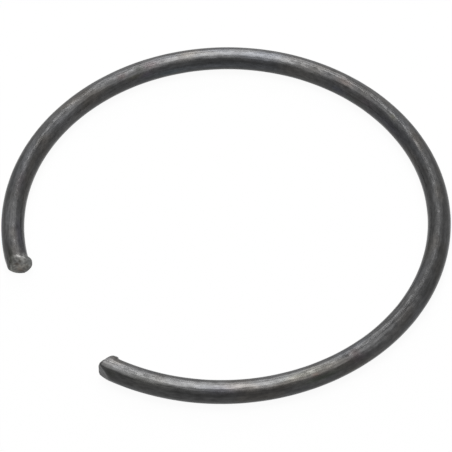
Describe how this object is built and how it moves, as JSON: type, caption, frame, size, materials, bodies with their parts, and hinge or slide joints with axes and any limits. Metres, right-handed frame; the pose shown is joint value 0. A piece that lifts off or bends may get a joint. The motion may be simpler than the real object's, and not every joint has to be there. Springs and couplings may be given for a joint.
{
  "type": "circlip retaining ring",
  "caption": "Open snap ring of round spring wire with plain sheared ends, which springs into a groove in a bore and holds a bearing or shaft in place.",
  "frame": {"origin": "centre of the ring's back half, at the middle of the wire's thickness", "axes": "+Z along the ring's axis, +X to the right of the gap, -Y through the middle of the gap; the ring lies flat as it rests on a surface"},
  "size_m": [0.0486, 0.047, 0.0024],
  "materials": {
    "dark_spring_steel": "dark oxide on drawn spring steel wire, with fine drawing lines along the wire, handling marks and bare sheared ends"
  },
  "bodies": {
    "root": {"retaining_ring": "dark_spring_steel"}
  },
  "joints": []
}
